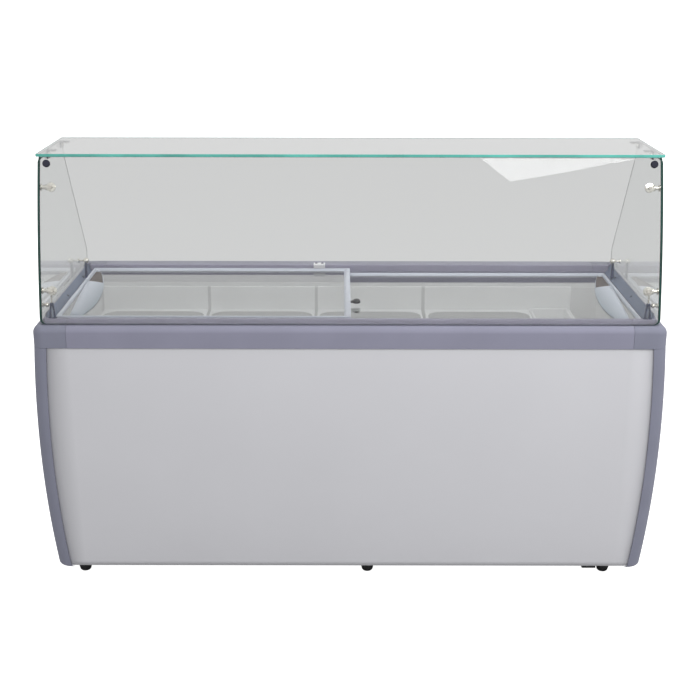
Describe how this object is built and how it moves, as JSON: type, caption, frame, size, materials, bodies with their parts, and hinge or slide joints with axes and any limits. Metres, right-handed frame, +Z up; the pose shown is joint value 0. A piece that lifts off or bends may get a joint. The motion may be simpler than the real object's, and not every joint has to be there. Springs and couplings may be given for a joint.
{
  "type": "ice cream dipping cabinet",
  "caption": "Chest freezer for scooping ice cream: curved white panels, blue-grey rim and posts, two sliding glass lids over hanging tub racks, and a bowed glass sneeze guard.",
  "frame": {"origin": "on the floor, under the middle of the cabinet", "axes": "+X to the right along the cabinet's length as the customer sees it, +Y from the customer's side to the server's side, +Z up"},
  "size_m": [1.828, 0.692, 1.2725],
  "materials": {
    "white_panel": "smooth white powder coat, satin",
    "corner_plastic": "blue-grey moulded, satin",
    "rim_plastic": "blue-grey extrusion, satin",
    "galvanised_steel": "dull galvanised",
    "foam": "rigid foam",
    "liner_metal": "embossed, dull",
    "copper_pipe": "copper, dull",
    "dark_screw": "blackened",
    "lid_plastic": "pale blue-grey moulded, satin",
    "lid_glass": "clear, toughened",
    "guard_glass": "clear, green edge",
    "black_plastic": "black moulded",
    "white_plastic": "white moulded",
    "chrome_fitting": "polished",
    "navy_bracket": "dark blue moulded",
    "unit_black": "black enamel",
    "fin_metal": "mill finish",
    "motor_metal": "grey enamel"
  },
  "bodies": {
    "cabinet": {"front_panel": "white_panel", "back_panel": "white_panel", "left_end_panel": "white_panel", "right_end_panel": "white_panel", "base_pan": "galvanised_steel", "insulation": "foam", "liner": "liner_metal", "evaporator_coil": "copper_pipe", "post_front_left": "corner_plastic", "post_front_right": "corner_plastic", "post_rear_left": "corner_plastic", "post_rear_right": "corner_plastic", "front_rail": "rim_plastic", "rear_rail": "rim_plastic", "left_rail": "rim_plastic", "right_rail": "rim_plastic", "rim_corner_front_left": "corner_plastic", "rim_corner_front_right": "corner_plastic", "rim_corner_rear_left": "corner_plastic", "rim_corner_rear_right": "corner_plastic", "front_track": "rim_plastic", "rear_track": "rim_plastic", "rail_screws": "dark_screw", "lid_stop_bracket": "white_plastic", "front_glass": "guard_glass", "left_side_glass": "guard_glass", "right_side_glass": "guard_glass", "top_glass": "guard_glass", "top_glass_clips": "chrome_fitting", "glass_connectors": "chrome_fitting", "side_glass_brackets": "navy_bracket", "tub_rack_1": "liner_metal", "tub_rack_2": "liner_metal", "tub_rack_3": "liner_metal", "tub_rack_4": "liner_metal", "scoop_well": "white_plastic", "compressor": "unit_black", "condenser": "fin_metal", "fan_motor": "motor_metal", "rear_grille": "rim_plastic", "power_inlet": "black_plastic"},
    "left_lid": {"left_lid_frame": "lid_plastic", "left_lid_glass": "lid_glass", "left_lid_handle": "lid_plastic", "lock_housing": "black_plastic"},
    "lock_barrel": {"lock_barrel": "black_plastic"},
    "right_lid": {"right_lid_frame": "lid_plastic", "right_lid_glass": "lid_glass", "right_lid_handle": "lid_plastic"},
    "fan_blade": {"fan_blade": "fin_metal"},
    "thermostat_dial": {"thermostat_dial": "black_plastic"},
    "power_switch": {"power_switch": "black_plastic"},
    "drain_plug": {"drain_plug": "black_plastic"},
    "foot_front_left": {"foot_front_left": "black_plastic"},
    "foot_front_middle": {"foot_front_middle": "black_plastic"},
    "foot_front_right": {"foot_front_right": "black_plastic"},
    "foot_rear_left": {"foot_rear_left": "black_plastic"},
    "foot_rear_middle": {"foot_rear_middle": "black_plastic"},
    "foot_rear_right": {"foot_rear_right": "black_plastic"}
  },
  "joints": [
    {"name": "left_lid_slide", "type": "slide", "parent": "cabinet", "child": "left_lid", "axis": [1, 0, 0], "range_m": [0, 0.7]},
    {"name": "right_lid_slide", "type": "slide", "parent": "cabinet", "child": "right_lid", "axis": [-1, 0, 0], "range_m": [0, 0.7]},
    {"name": "lock_turn", "type": "hinge", "parent": "left_lid", "child": "lock_barrel", "pos_m": [0.0205, -0.1, 0.815], "axis": [0, 0, 1], "range_deg": [0, 90]},
    {"name": "fan_spin", "type": "hinge", "parent": "cabinet", "child": "fan_blade", "pos_m": [0.772, 0.236, 0.205], "axis": [0, 1, 0], "continuous": true},
    {"name": "thermostat_turn", "type": "hinge", "parent": "cabinet", "child": "thermostat_dial", "pos_m": [0.65, 0.341, 0.25], "axis": [0, 1, 0], "range_deg": [0, 270]},
    {"name": "switch_rock", "type": "hinge", "parent": "cabinet", "child": "power_switch", "pos_m": [0.65, 0.318, 0.19], "axis": [1, 0, 0], "range_deg": [-8, 8]},
    {"name": "drain_plug_lift", "type": "slide", "parent": "cabinet", "child": "drain_plug", "axis": [0, 0, 1], "range_m": [0, 0.06]},
    {"name": "foot_front_left_screw", "type": "slide", "parent": "cabinet", "child": "foot_front_left", "axis": [0, 0, 1], "range_m": [-0.012, 0]},
    {"name": "foot_front_middle_screw", "type": "slide", "parent": "cabinet", "child": "foot_front_middle", "axis": [0, 0, 1], "range_m": [-0.012, 0]},
    {"name": "foot_front_right_screw", "type": "slide", "parent": "cabinet", "child": "foot_front_right", "axis": [0, 0, 1], "range_m": [-0.012, 0]},
    {"name": "foot_rear_left_screw", "type": "slide", "parent": "cabinet", "child": "foot_rear_left", "axis": [0, 0, 1], "range_m": [-0.012, 0]},
    {"name": "foot_rear_middle_screw", "type": "slide", "parent": "cabinet", "child": "foot_rear_middle", "axis": [0, 0, 1], "range_m": [-0.012, 0]},
    {"name": "foot_rear_right_screw", "type": "slide", "parent": "cabinet", "child": "foot_rear_right", "axis": [0, 0, 1], "range_m": [-0.012, 0]}
  ]
}
